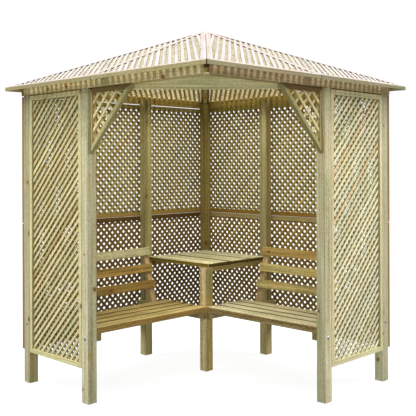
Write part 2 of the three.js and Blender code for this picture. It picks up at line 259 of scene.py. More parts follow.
def wood_group():
    """Softwood: growth rings round an off-board pith, fibre streaks, knots, treatment tint and stains.

    Grain is in metres, x along the board. Ends is 1 on end grain. Height is metres over the ground.
    """
    g = bpy.data.node_groups.new("softwood", "ShaderNodeTree")
    face = g.interface
    for name, kind, value in (
        ("Grain", "NodeSocketVector", None),
        ("Base", "NodeSocketColor", (0.4, 0.35, 0.2, 1)),
        ("Ends", "NodeSocketFloat", 0.0),
        ("Height", "NodeSocketFloat", 1.0),
        ("Figure", "NodeSocketFloat", 0.5),
        ("Streak", "NodeSocketFloat", 0.5),
        ("Knots", "NodeSocketFloat", 0.5),
        ("Mottle", "NodeSocketFloat", 0.5),
        ("End Colour", "NodeSocketColor", (0.2, 0.15, 0.08, 1)),
    ):
        s = face.new_socket(name, in_out="INPUT", socket_type=kind)
        if value is not None:
            s.default_value = value
    for name, kind in (("Color", "NodeSocketColor"), ("Roughness", "NodeSocketFloat"), ("Relief", "NodeSocketFloat")):
        face.new_socket(name, in_out="OUTPUT", socket_type=kind)
    n = Net(g)
    gi = n.add("NodeGroupInput")
    go = n.add("NodeGroupOutput")
    grain, base = gi.outputs["Grain"], gi.outputs["Base"]

    # knots: one in some cells of a stretched Voronoi, measured in metres from its centre
    cell = (5.2, 15.0, 15.0)
    scaled = n.vmath("MULTIPLY", grain, cell)
    vor = n.add("ShaderNodeTexVoronoi", voronoi_dimensions="3D", feature="F1")
    n.link(scaled, vor.inputs["Vector"])
    vor.inputs["Scale"].default_value = 1.0
    vor.inputs["Randomness"].default_value = 0.85
    away = n.vmath("MULTIPLY", n.vmath("SUBTRACT", scaled, vor.outputs["Position"]), tuple(1 / c for c in cell))
    away = n.vmath("MULTIPLY", away, (0.8, 1.0, 1.0))
    dist = n.vmath("LENGTH", away)
    wob = n.noise(n.vmath("MULTIPLY", grain, (150, 150, 150)), detail=1.0)
    dist = n.math("MULTIPLY_ADD", wob, 0.004, n.math("SUBTRACT", dist, 0.002))
    rnd = n.add("ShaderNodeSeparateColor")
    n.link(vor.outputs["Color"], rnd.inputs[0])
    # share of the cells that hold a knot
    on = n.math("LESS_THAN", rnd.outputs[0], gi.outputs["Knots"])
    radius = n.range(rnd.outputs[1], 0.0, 1.0, 0.0045, 0.0125)
    rel = n.math("DIVIDE", dist, radius)
    core = n.math("MULTIPLY", n.range(rel, 0.75, 1.15, 1.0, 0.0, smooth=True), on)
    rim = n.math("MULTIPLY", n.range(n.math("ABSOLUTE", n.math("SUBTRACT", rel, 1.0)), 0.0, 0.35, 1.0, 0.0, smooth=True), on)
    halo = n.math("MULTIPLY", n.range(rel, 0.9, 2.9, 1.0, 0.0, smooth=True), on)

    # growth rings, bulging round the knots
    wander = n.noise(n.vmath("MULTIPLY", grain, (1.6, 9.0, 9.0)), detail=2.0)
    sep = n.add("ShaderNodeSeparateXYZ")
    n.link(grain, sep.inputs[0])
    ry = n.math("ADD", sep.outputs["Y"], 0.021)
    rz = n.math("ADD", sep.outputs["Z"], 0.034)
    r = n.math("SQRT", n.math("ADD", n.math("MULTIPLY", ry, ry), n.math("MULTIPLY", rz, rz)))
    r = n.math("MULTIPLY_ADD", wander, 0.020, r)
    r = n.math("MULTIPLY_ADD", halo, 0.006, r)
    phase = n.math("MULTIPLY", r, 235.0)
    saw = n.math("FRACT", phase)
    late = n.math("MULTIPLY", n.range(saw, 0.25, 0.86, 0.0, 1.0, smooth=True), n.range(saw, 0.9, 1.0, 1.0, 0.0))
    band = n.noise(n.vmath("MULTIPLY", grain, (0.7, 34.0, 34.0)), detail=3.0, rough=0.55)
    fine = n.noise(n.vmath("MULTIPLY", grain, (9.0, 620.0, 620.0)), detail=2.0, rough=0.6)
    mid = n.noise(n.vmath("MULTIPLY", grain, (2.6, 140.0, 140.0)), detail=2.0, rough=0.6)
    blot = n.noise(n.vmath("MULTIPLY", grain, (3.2, 11.0, 11.0)), detail=3.0, rough=0.6)
    speck = n.noise(n.vmath("MULTIPLY", grain, (70.0, 260.0, 260.0)), detail=1.0)
    lines = n.noise(n.vmath("MULTIPLY", grain, (1.5, 78.0, 78.0)), detail=2.0, rough=0.6)
    algae = n.noise(n.vmath("MULTIPLY", grain, (1.2, 40.0, 40.0)), detail=3.0, rough=0.6)
    grit = n.noise(n.vmath("MULTIPLY", grain, (80.0, 135.0, 135.0)), detail=2.0, rough=0.7)
    stain = n.noise(n.vmath("MULTIPLY", grain, (4.5, 21.0, 21.0)), detail=4.0, rough=0.65)
    crack = n.noise(n.vmath("MULTIPLY", grain, (1.1, 75.0, 75.0)), detail=1.0)

    # colour
    warm = n.mix(1.0, base, (0.86, 0.74, 0.52), "MULTIPLY")
    col = n.mix(n.math("MULTIPLY", late, gi.outputs["Figure"]), base, warm)
    streak = n.math("ADD", n.math("MULTIPLY", n.math("SUBTRACT", band, 0.5), 1.5), n.math("MULTIPLY", n.math("SUBTRACT", mid, 0.5), 0.9))
    streak = n.math("ADD", streak, n.math("MULTIPLY", n.math("SUBTRACT", fine, 0.5), 0.5))
    streak = n.math("ADD", streak, n.math("MULTIPLY", n.math("SUBTRACT", grit, 0.5), 1.7))
    streak = n.math("ADD", streak, n.math("MULTIPLY", n.math("SUBTRACT", lines, 0.5), 1.3))
    shade = n.math("MULTIPLY_ADD", streak, gi.outputs["Streak"], 1.0)
    tone = n.add("ShaderNodeCombineXYZ")
    n.link(shade, tone.inputs[0])
    n.link(shade, tone.inputs[1])
    n.link(n.math("POWER", n.math("MAXIMUM", shade, 0.05), 1.35), tone.inputs[2])
    col = n.mix(1.0, col, tone.outputs[0], "MULTIPLY")
    green = n.mix(1.0, col, (0.84, 0.93, 0.74), "MULTIPLY")
    col = n.mix(n.math("MULTIPLY", n.range(blot, 0.46, 0.68, 0.0, 1.0, smooth=True), gi.outputs["Mottle"]), col, green)
    orange = n.mix(1.0, col, (1.06, 0.86, 0.62), "MULTIPLY")
    col = n.mix(n.math("MULTIPLY", n.range(blot, 0.5, 0.3, 0.0, 0.9, smooth=True), gi.outputs["Mottle"]), col, orange)
    # green streaks along the fibres, grey-green stains and short drying checks
    slime = n.mix(1.0, col, (0.68, 0.75, 0.60), "MULTIPLY")
    col = n.mix(n.math("MULTIPLY", n.range(algae, 0.55, 0.66, 0.0, 1.0, smooth=True), gi.outputs["Mottle"]), col, slime)
    grey = n.mix(1.0, col, (0.66, 0.70, 0.58), "MULTIPLY")
    col = n.mix(n.math("MULTIPLY", n.range(stain, 0.55, 0.72, 0.0, 1.0, smooth=True), gi.outputs["Mottle"]), col, grey)
    check = n.math("MULTIPLY", n.range(n.math("ABSOLUTE", n.math("SUBTRACT", crack, 0.5)), 0.0, 0.014, 1.0, 0.0), n.range(stain, 0.44, 0.56, 0.0, 1.0, smooth=True))
    dark = n.mix(1.0, col, (0.46, 0.40, 0.30), "MULTIPLY")
    col = n.mix(n.math("MULTIPLY", check, 0.7), col, dark)
    halo_col = n.mix(1.0, col, (1.0, 0.72, 0.42), "MULTIPLY")
    col = n.mix(n.math("MULTIPLY", halo, 0.55), col, halo_col)
    knot_hue = n.mix(rnd.outputs[2], (0.19, 0.075, 0.026), (0.075, 0.042, 0.022))
    col = n.mix(n.math("MULTIPLY", core, 0.82), col, knot_hue)
    col = n.mix(n.math("MULTIPLY", rim, 0.35), col, (0.05, 0.027, 0.014))
    # end grain drinks more of the treatment
    end_col = n.mix(0.55, (1.0, 1.0, 1.0), tone.outputs[0], "MULTIPLY")
    end_col = n.mix(1.0, gi.outputs["End Colour"], end_col, "MULTIPLY")
    col = n.mix(gi.outputs["Ends"], col, end_col)
    # a little darker low down and lighter high up
    lift = n.range(gi.outputs["Height"], 0.3, 1.7, 0.95, 1.08)
    col = n.mix(1.0, col, lift, "MULTIPLY")
    # damp and dirt near the ground
    foot = n.range(gi.outputs["Height"], 0.0, 0.22, 1.0, 0.0, smooth=True)
    patch = n.range(n.noise(n.vmath("MULTIPLY", grain, (14.0, 22.0, 22.0)), detail=4.0, rough=0.65), 0.35, 0.65, 0.25, 1.0)
    damp = n.mix(1.0, col, (0.74, 0.82, 0.78), "MULTIPLY")
    col = n.mix(n.math("MULTIPLY", n.math("MULTIPLY", foot, patch), 0.75), col, damp)
    n.link(col, go.inputs["Color"])

    rough = n.math("MULTIPLY_ADD", n.math("SUBTRACT", mid, 0.5), 0.22, 0.78)
    rough = n.math("SUBTRACT", rough, n.math("MULTIPLY", core, 0.2))
    n.link(rough, go.inputs["Roughness"])
    relief = n.math("ADD", n.math("MULTIPLY", late, 0.35), n.math("ADD", n.math("MULTIPLY", fine, 0.55), n.math("MULTIPLY", speck, 0.25)))
    relief = n.math("SUBTRACT", relief, n.math("MULTIPLY", rim, 0.5))
    n.link(relief, go.inputs["Relief"])
    return g


WOOD = wood_group()


def finish_wood(mat, grain, base, ends, end_colour, figure, streak, knots, mottle, bump):
    n = Net(mat.node_tree)
    g = n.add("ShaderNodeGroup", node_tree=WOOD)
    n.put(g.inputs["Grain"], grain)
    n.put(g.inputs["Base"], base if isinstance(base, bpy.types.NodeSocket) else (*base, 1.0))
    n.put(g.inputs["Ends"], ends)
    n.put(g.inputs["End Colour"], end_colour if isinstance(end_colour, bpy.types.NodeSocket) else (*end_colour, 1.0))
    tc = n.add("ShaderNodeTexCoord")
    sep = n.add("ShaderNodeSeparateXYZ")
    n.link(tc.outputs["Object"], sep.inputs[0])
    n.link(sep.outputs["Z"], g.inputs["Height"])
    g.inputs["Figure"].default_value = figure
    g.inputs["Streak"].default_value = streak
    g.inputs["Knots"].default_value = knots
    g.inputs["Mottle"].default_value = mottle
    bsdf = next(x for x in mat.node_tree.nodes if x.type == "BSDF_PRINCIPLED")
    n.link(g.outputs["Color"], bsdf.inputs["Base Color"])
    n.link(g.outputs["Roughness"], bsdf.inputs["Roughness"])
    bsdf.inputs["Specular IOR Level"].default_value = 0.3
    b = n.add("ShaderNodeBump")
    b.inputs["Strength"].default_value = 0.5
    b.inputs["Distance"].default_value = bump
    n.link(g.outputs["Relief"], b.inputs["Height"])
    n.link(b.outputs["Normal"], bsdf.inputs["Normal"])
    return mat


def new_material(name):
    mat = bpy.data.materials.new(name)
    mat.use_nodes = True
    return mat


def board_material(name, base, side, end, along, across, seed, figure=0.6, streak=0.6, knots=0.5, mottle=0.5, bump=0.0007, turn=(0.55, 0.8), worn=0.3, fades=()):
    """Timber for a CAD node whose mesh lies in place: the grain runs along one direction.

    fades: (direction, from, to, colour, face), painted light and shade; the colour of a face is multiplied at from, and
    not any more at to.
    """
    mat = new_material(name)
    n = Net(mat.node_tree)
    a = Vector(along).normalized()
    b = Vector(across).normalized()
    c = a.cross(b)
    rng = random.Random(seed)
    tc = n.add("ShaderNodeTexCoord")
    comb = n.add("ShaderNodeCombineXYZ")
    for i, v in enumerate((a, b, c)):
        n.link(n.vmath("DOT_PRODUCT", tc.outputs["Object"], tuple(v)), comb.inputs[i])
    # every board is cut from its own stretch of timber
    grain = n.vmath("ADD", comb.outputs[0], (rng.uniform(3, 40), rng.uniform(3, 7), rng.uniform(3, 7)))
    ends = n.math("GREATER_THAN", n.math("ABSOLUTE", n.vmath("DOT_PRODUCT", tc.outputs["Normal"], tuple(a))), 0.8)
    faded = {"base": base, "side": side}
    for way, start, stop, tone, face in fades:
        much = n.range(n.vmath("DOT_PRODUCT", tc.outputs["Object"], tuple(way)), start, stop, 1.0, 0.0)
        faded[face] = n.mix(1.0, faded[face], n.mix(much, (1.0, 1.0, 1.0), tone), "MULTIPLY")
    colour = faded["base"]
    if side != base:
        facing = n.math("ABSOLUTE", n.vmath("DOT_PRODUCT", tc.outputs["Normal"], tuple(b)))
        colour = n.mix(n.range(facing, turn[0], turn[1], 0.0, 1.0, smooth=True), faded["base"], faded["side"])
    # the rounded arrises along the board are painted paler: a painted highlight where they catch the light, and some
    # rubbing wear
    if worn:
        third = n.math("ABSOLUTE", n.vmath("DOT_PRODUCT", tc.outputs["Normal"], tuple(c)))
        other = n.math("ABSOLUTE", n.vmath("DOT_PRODUCT", tc.outputs["Normal"], tuple(b)))
        arris = n.range(n.math("MINIMUM", third, other), 0.3, 0.6, 0.0, worn, smooth=True)
        arris_highlight_colour = n.mix(1.0, colour, (1.5, 1.5, 1.55), "MULTIPLY")
        colour = n.mix(arris, colour, arris_highlight_colour)
    return finish_wood(mat, grain, colour, ends, end, figure, streak, knots, mottle, bump)


def lath_material(name, figure=0.5, streak=0.55, knots=0.6, mottle=0.6, bump=0.0005):
    """Timber for made pieces: grain, tint and axis come from the mesh, one set per board."""
    mat = new_material(name)
    n = Net(mat.node_tree)
    grain = n.add("ShaderNodeAttribute", attribute_type="GEOMETRY", attribute_name="grain")
    tint = n.add("ShaderNodeAttribute", attribute_type="GEOMETRY", attribute_name="tint")
    axis = n.add("ShaderNodeAttribute", attribute_type="GEOMETRY", attribute_name="axis")
    tc = n.add("ShaderNodeTexCoord")
    ends = n.math("GREATER_THAN", n.math("ABSOLUTE", n.vmath("DOT_PRODUCT", tc.outputs["Normal"], axis.outputs["Vector"])), 0.8)
    dark = n.mix(1.0, tint.outputs["Color"], (0.8, 0.72, 0.6), "MULTIPLY")
    return finish_wood(mat, grain.outputs["Vector"], tint.outputs["Color"], ends, dark, figure, streak, knots, mottle, bump)


# ---- geometry helpers ------------------------------------------------------------------------------


def clip(poly, px, py, nx, ny):
    """Keeps the part of a convex polygon on the side that (nx, ny) points to."""
    out = []
    k = len(poly)
    for i in range(k):
        a, b = poly[i], poly[(i + 1) % k]
        da = (a[0] - px) * nx + (a[1] - py) * ny
        db = (b[0] - px) * nx + (b[1] - py) * ny
        if da >= 0:
            out.append(a)
        if (da >= 0) != (db >= 0):
            t = da / (da - db)
            out.append((a[0] + (b[0] - a[0]) * t, a[1] + (b[1] - a[1]) * t))
    return out


def area(poly):
    return 0.5 * sum(poly[i][0] * poly[(i + 1) % len(poly)][1] - poly[(i + 1) % len(poly)][0] * poly[i][1] for i in range(len(poly)))


def tidy(poly, tol=0.0002):
    out = []
    for p in poly:
        if not out or math.hypot(p[0] - out[-1][0], p[1] - out[-1][1]) > tol:
            out.append(p)
    if len(out) > 1 and math.hypot(out[0][0] - out[-1][0], out[0][1] - out[-1][1]) <= tol:
        out.pop()
    return out


def inset(poly, d):
    """Moves each side of a convex counter-clockwise polygon inwards by d (outwards if negative)."""
    k = len(poly)
    lines = []
    for i in range(k):
        a, b = Vector(poly[i]), Vector(poly[(i + 1) % k])
        t = (b - a).normalized()
        nrm = Vector((-t.y, t.x))
        lines.append((a + nrm * d, t))
    out = []
    for i in range(k):
        p, t = lines[i - 1]
        q, s = lines[i]
        den = t.x * s.y - t.y * s.x
        u = ((q.x - p.x) * s.y - (q.y - p.y) * s.x) / den
        out.append(tuple(p + t * u))
    return out


class Piece:
    """Closed prisms gathered in one mesh, each a board with its own grain, tint and axis."""

    def __init__(self, name):
        self.name = name
        self.v, self.f, self.grain, self.tint, self.axis = [], [], [], [], []

    def prism(self, place, poly, d0, d1, along, tint, seed, edge=(0.66, 0.60, 0.46), lit_face=None, inner=None):
        """place maps (u, v, depth) to the world; poly is convex and counter-clockwise seen from depth 0.

        skin is the colour of the outer face and inner that of the inner one, where they differ: painted light on the
        outer face, painted shade on the inner one.

        The side faces of a board are multiplied by edge: painted light and shade, mostly darker where they look into
        the gaps and recesses.
        """
        poly = tidy(poly)
        if len(poly) < 3 or area(poly) < 1e-6:
            return
        k = len(poly)
        start = len(self.v)
        ax, ay = along
        h = math.hypot(ax, ay)
        ax, ay = ax / h, ay / h
        rng = random.Random(seed)
        off = (rng.uniform(2, 60), rng.uniform(3, 9), rng.uniform(3, 9))
        cx = sum(p[0] for p in poly) / k
        cy = sum(p[1] for p in poly) / k
        world_axis = (place(ax, ay, 0.0) - place(0, 0, 0)).normalized()
        for d in (d0, d1):
            for (u, w) in poly:
                self.v.append(place(u, w, d))
                a = u * ax + w * ay
                b = (u - cx) * -ay + (w - cy) * ax
                self.grain.append((a + off[0], b + off[1], (d - d0) + off[2]))
                self.axis.append(tuple(world_axis))
        self.f.append([start + i for i in range(k)])
        self.f.append([start + k + i for i in reversed(range(k))])
        self.tint += [(*(lit_face or tint), 1.0), (*(inner or tint), 1.0)] + [(*mul(tint, edge), 1.0)] * k
        for i in range(k):
            j = (i + 1) % k
            self.f.append([start + i, start + k + i, start + k + j, start + j])

    def build(self, material, bevel=0.0, segments=1):
        mesh = bpy.data.meshes.new(self.name)
        mesh.from_pydata([tuple(p) for p in self.v], [], self.f)
        mesh.update()
        for name, kind, domain, data, key in (
            ("grain", "FLOAT_VECTOR", "POINT", self.grain, "vector"),
            ("axis", "FLOAT_VECTOR", "POINT", self.axis, "vector"),
            ("tint", "FLOAT_COLOR", "FACE", self.tint, "color"),
        ):
            attr = mesh.attributes.new(name, kind, domain)
            attr.data.foreach_set(key, [x for row in data for x in row])
        mesh.materials.append(material)
        obj = bpy.data.objects.new(self.name, mesh)
        bpy.context.scene.collection.objects.link(obj)
        if bevel:
            m = obj.modifiers.new("arris", "BEVEL")
            m.width = bevel
            m.segments = segments
            m.limit_method = "ANGLE"
            m.angle_limit = math.radians(30)
            m.use_clamp_overlap = True
        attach(obj, "root")
        return obj


def placer(origin, u, v, e):
    o, u, v, e = Vector(origin), Vector(u), Vector(v), Vector(e)
    return lambda a, b, d: o + u * a + v * b + e * d


def vary(base, rng, light=0.07, hue=0.03, odd=0.06):
    """One board's own colour: lighter or darker, greener or pinker, sometimes orange-brown."""
    k = 1.0 + rng.gauss(0, light)
    k = min(1.0 + 2.2 * light, max(1.0 - 2.2 * light, k))
    w = rng.gauss(0, hue)
    g = rng.gauss(0, hue * 0.6)
    c = mul(base, (k * (1 + w), k * (1 + g - w * 0.1), k * (1 - 1.7 * w)))
    t = rng.random()
    if t < odd * 0.5:
        c = mul(c, (1.0, 0.83, 0.62))
    elif t < odd * 0.8:
        c = mul(c, (0.72, 0.64, 0.5))
    elif t < odd:
        c = mul(c, (1.14, 1.1, 1.08))
    return c


def strips(hole, angle, pitch, width, phase, rng, jitter=0.0005, turn=0.0016, grow=0.005, smallest=2e-5):
    """Laths across a convex hole, at an angle to u: a list of (polygon, direction, number)."""
    grown = inset(hole, -grow)
    out = []
    cu = sum(p[0] for p in hole) / len(hole)
    cv = sum(p[1] for p in hole) / len(hole)
    base_n = (-math.sin(angle), math.cos(angle))
    reach = [(p[0] * base_n[0] + p[1] * base_n[1]) for p in grown]
    k0 = math.floor((min(reach) - phase) / pitch) - 1
    k1 = math.ceil((max(reach) - phase) / pitch) + 1
    for k in range(k0, k1 + 1):
        c = phase + k * pitch + rng.gauss(0, jitter)
        th = angle + rng.gauss(0, turn)
        w = width + rng.gauss(0, 0.0004)
        # turn about the middle of the hole
        nx, ny = -math.sin(th), math.cos(th)
        mid = cu * nx + cv * ny
        base_mid = cu * base_n[0] + cv * base_n[1]
        s = c - base_mid + mid
        p = clip(grown, nx * (s - w / 2), ny * (s - w / 2), nx, ny)
        p = clip(p, nx * (s + w / 2), ny * (s + w / 2), -nx, -ny) if len(p) > 2 else p
        p = tidy(p)
        if len(p) > 2 and area(p) > smallest:
            out.append((p, (math.cos(th), math.sin(th)), k))
    return out


FRAME_WOOD = lath_material("sawn_frame_timber", figure=0.55, streak=0.5, knots=0.5, mottle=0.5)
LATH_WOOD = lath_material("sawn_lath_timber", figure=0.5, streak=0.45, knots=0.62, mottle=0.3)


def dressed(own, base, *others):
    """The other colours of a board, as much lighter or darker as the board is."""
    return [o and tuple(min(1.0, x * a / b) for x, a, b in zip(o, own, base)) for o in others]


def trellis(key, node, place, rails, hole, layers, thick, tint, pitch=0.0363, width=0.0182, seed=1,
            rail_tints=None, lath_tints=None, phases=(0.0, 0.0), bevel=0.0016, smallest=2e-5, edge=(0.66, 0.60, 0.46), spread=(0.06, 0.025, 0.05),
            lath_edge=(0.66, 0.60, 0.46), lit_faces=(None, None, None), shaded_faces=(None, None, None), pink=()):
    """A trellis of frame rails and two layers of laths.

    skins and inners: colours of the outer and inner faces of the frame and of both layers, where they differ: painted
    light on the outer faces, painted shade on the inner ones. edge and lath_edge multiply the colours of the side faces
    of the rails and laths: painted light and shade.

    rails: list of (polygon, direction); layers: list of (depth, depth, angle).
    pink: numbers of the outer laths that are sawn from pinker heartwood.
    """
    rng = random.Random(seed)
    lath_edge = lath_edge if isinstance(edge, list) else edge
    fr = Piece(key + "_frame")
    for i, (poly, along) in enumerate(rails):
        base = rail_tints[i] if rail_tints and rail_tints[i] else tint
        own = vary(base, rng, 0.03, 0.012, 0.0)
        fr.prism(place, poly, 0.0, thick, along, own, seed * 100 + i,
                 edge[i] if isinstance(edge, list) else (0.86, 0.82, 0.74), *dressed(own, base, lit_faces[0], shaded_faces[0]))
    first = fr.build(FRAME_WOOD, bevel=bevel, segments=2)
    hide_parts(node)
    made = [first]
    for li, (d0, d1, angle) in enumerate(layers):
        piece = Piece(key + ("_laths_outer" if li == 0 else "_laths_inner"))
        lt = lath_tints[li] if lath_tints else tint
        for j, (poly, along, k) in enumerate(strips(hole, angle, pitch, width, phases[li], rng, smallest=smallest)):
            dz = rng.uniform(-0.0003, 0.0003)
            own = vary(lt, rng, *spread)
            if li == 0 and k in pink:
                own = mul(lt, (0.98, 0.81, 0.68))
            piece.prism(place, poly, d0 + dz, d1 + dz, along, own, seed * 1000 + li * 300 + j, lath_edge,
                        *dressed(own, lt, lit_faces[li + 1], shaded_faces[li + 1]))
        made.append(piece.build(LATH_WOOD, bevel=0.0007, segments=1))
    return made


def rect(x0, y0, x1, y1):
    return [(x0, y0), (x1, y0), (x1, y1), (x0, y1)]


def wall(key, node, origin, u, width, height, thick, stile, rail, layers, tint, seed, rail_tints=None, lath_tints=None, phases=(0.0, 0.0), edge=(0.66, 0.60, 0.46), spread=(0.06, 0.025, 0.05), lit_face=None, inner=None, pink=()):
    """An upright rectangular trellis: stiles full height, rails butted between them."""
    g = 0.0002
    up = Vector((0, 0, 1))
    place = placer(origin, u, up, -Vector(u).cross(up))
    rails = [
        (rect(0, 0, stile, height), (0, 1)),
        (rect(width - stile, 0, width, height), (0, 1)),
        (rect(stile + g, 0, width - stile - g, rail), (1, 0)),
        (rect(stile + g, height - rail, width - stile - g, height), (1, 0)),
    ]
    hole = rect(stile, rail, width - stile, height - rail)
    return trellis(key, node, place, rails, hole, layers, thick, tint, seed=seed, rail_tints=rail_tints, lath_tints=lath_tints, phases=phases,
                   edge=edge, spread=spread, lit_faces=(lit_face, lit_face, lit_face), shaded_faces=(None, inner, None), pink=pink)


Q = math.pi / 4

# ---- end trellises ---------------------------------------------------------------------------------
lo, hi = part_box("trellis_end_left")
LAY_END = [(0.0095, 0.0167, Q), (0.0169, 0.0241, -Q)]
# the dark side faces of the laths, set by edge, are painted shade between the crossing laths
wall("end_trellis_left", "trellis_end_left", (lo.x, lo.y, lo.z), (1, 0, 0), hi.x - lo.x, hi.z - lo.z, hi.y - lo.y, 0.029, 0.030,
     LAY_END, paint("end_left_frame"), 11, lath_tints=(paint("end_left_laths"), paint("end_left_inner")), phases=(0.0, 0.0),
     edge=(0.35, 0.29, 0.17), spread=(0.05, 0.02, 0.035))
lo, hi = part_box("trellis_end_right")
wall("end_trellis_right", "trellis_end_right", (hi.x, lo.y, lo.z), (0, 1, 0), hi.y - lo.y, hi.z - lo.z, hi.x - lo.x, 0.029, 0.030,
     LAY_END, paint("end_right_frame"), 12, lath_tints=(paint("end_right_laths"), paint("end_right_inner")), phases=(0.0, 0.0),
     edge=(0.30, 0.25, 0.14), spread=(0.05, 0.02, 0.03), pink=(16, 22))

# ---- rear trellises --------------------------------------------------------------------------------
PHASE_REAR = {("left", "lower"): (0.0, 0.0), ("right", "lower"): (0.0, 0.0), ("left", "upper"): (0.0, 0.0), ("right", "upper"): (0.0, 0.0)}
LAY_REAR = [(0.0045, 0.0117, Q), (0.0119, 0.0191, -Q)]
for level, seed in (("lower", 21), ("upper", 31)):
    for side in ("left", "right"):
        node = "trellis_rear_" + side + "_" + level
        lo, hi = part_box(node)
        tint = paint("rear_" + side + "_" + level)
        middle = paint("rear_" + side + "_" + level + "_rail")
        tints = [None, None, None, middle] if level == "lower" else [None, None, middle, None]
        tints[1 if side == "left" else 0] = paint("rear_" + side + "_strip")
        if side == "left":
            origin, u, width, thick = (lo.x, hi.y, lo.z), (0, -1, 0), hi.y - lo.y, hi.x - lo.x
        else:
            origin, u, width, thick = (hi.x, hi.y, lo.z), (-1, 0, 0), hi.x - lo.x, hi.y - lo.y
        # painted light and shade: rear_outside is a lit colour for the outer faces, the outer laths of the upper walls
        # are painted darker on their inner faces, and the dark sides of the laths are painted shade
        wall("rear_trellis_" + side + "_" + level, node, origin, u, width, hi.z - lo.z, thick, 0.030, 0.030, LAY_REAR, tint,
             seed + (side == "right"), rail_tints=tints, phases=PHASE_REAR[side, level],
             edge=(0.44, 0.36, 0.22), spread=(0.09, 0.035, 0.03), lit_face=paint("rear_outside"),
             inner=mul(tint, (0.55, 0.47, 0.30)) if level == "upper" else None)

# ---- knee braces -----------------------------------------------------------------------------------


def mitred(poly, width, gap=0.0003):
    """Rails along the sides of a convex counter-clockwise polygon, mitred at its corners."""
    inner = inset(poly, width)
    k = len(poly)
    out = []
    for i in range(k):
        j = (i + 1) % k
        a, b, c, d = poly[i], poly[j], inner[j], inner[i]
        t = Vector(b) - Vector(a)
        quad = inset([a, b, c, d], gap / 2)
        # keep the outer edge where it is
        out.append(([tuple(Vector(quad[0]) - Vector((-t.y, t.x)).normalized() * gap / 2),
                     tuple(Vector(quad[1]) - Vector((-t.y, t.x)).normalized() * gap / 2), quad[2], quad[3]], tuple(t)))
    return out, inner


lo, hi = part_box("knee_brace_left")
leg = hi.x - lo.x
tri = [(0, leg), (0, 0), (leg, leg)]  # right angle at the top, beside the post
rails, inner = mitred(tri, 0.025)
LAY_KNEE = [(0.0055, 0.0127, Q), (0.0129, 0.0201, -Q)]
frame_c, strut_c, lath_c = paint("brace_frame"), paint("brace_strut"), paint("brace_laths")
head_c = mul(frame_c, (0.55, 0.48, 0.36))
trellis("knee_trellis_left", "knee_brace_left", placer((lo.x, lo.y, lo.z), (1, 0, 0), (0, 0, 1), (0, 1, 0)), rails, inner, LAY_KNEE,
        hi.y - lo.y, frame_c, pitch=0.0575, width=0.0165, seed=41, rail_tints=[frame_c, strut_c, head_c], lath_tints=(lath_c, lath_c),
        phases=(0.0215, 0.033), smallest=4e-4)
lo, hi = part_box("knee_brace_right")
leg = hi.y - lo.y
tri = [(leg, leg), (0, leg), (leg, 0)]
rails, inner = mitred(tri, 0.025)
LAY_KNEE = [(d0, d1, -a) for d0, d1, a in LAY_KNEE]
trellis("knee_trellis_right", "knee_brace_right", placer((hi.x, lo.y, lo.z), (0, 1, 0), (0, 0, 1), (-1, 0, 0)), rails, inner, LAY_KNEE,
        hi.x - lo.x, frame_c, pitch=0.0575, width=0.0165, seed=42, rail_tints=[head_c, strut_c, frame_c], lath_tints=(lath_c, lath_c),
        phases=(0.0084, 0.0461), smallest=4e-4)

# ---- roof ------------------------------------------------------------------------------------------
EAVE, PEAK, EAVE_TOP, ROOF_T, ROOF_RAIL = 0.934, 2.302, 1.932, 0.024, 0.032
SLOPE = (PEAK - EAVE_TOP) / EAVE
COSP = math.cos(math.atan(SLOPE))
HIP_GAP, MID = 0.0016, 0.0005


def roof_panel(node, turn, half, tint, laths, under, edges, lath_edge, seed, top, lit_faces, shaded_faces):
    """half +1: u > 0, -1: u < 0. u runs along the eave, right seen from outside; v runs up the slope, true length."""
    c, sn = math.cos(turn), math.sin(turn)

    def world(u, v, d):
        x, y = -u, EAVE - v * COSP
        return Vector((c * x - sn * y, sn * x + c * y, PEAK - SLOPE * y - d))

    def hv(u):
        return (EAVE - abs(u) - HIP_GAP) / COSP

    if half > 0:
        outer = [(MID, 0.0), (EAVE - HIP_GAP, 0.0), (MID, hv(MID))]
    else:
        outer = [(-(EAVE - HIP_GAP), 0.0), (-MID, 0.0), (-MID, hv(MID))]
    rails, inner = mitred(outer, ROOF_RAIL, 0.0006)
    layers = [(0.0015, 0.0077, top), (0.0079, 0.0141, -top)]
    trellis(node.replace("roof_trellis", "roof_panel"), node, world, rails, inner, layers, ROOF_T, tint,
            pitch=0.0363, width=0.0176, seed=seed, lath_tints=(laths, under), edge=edges, lath_edge=lath_edge,
            spread=(0.03, 0.012, 0.0), lit_faces=lit_faces, shaded_faces=shaded_faces)


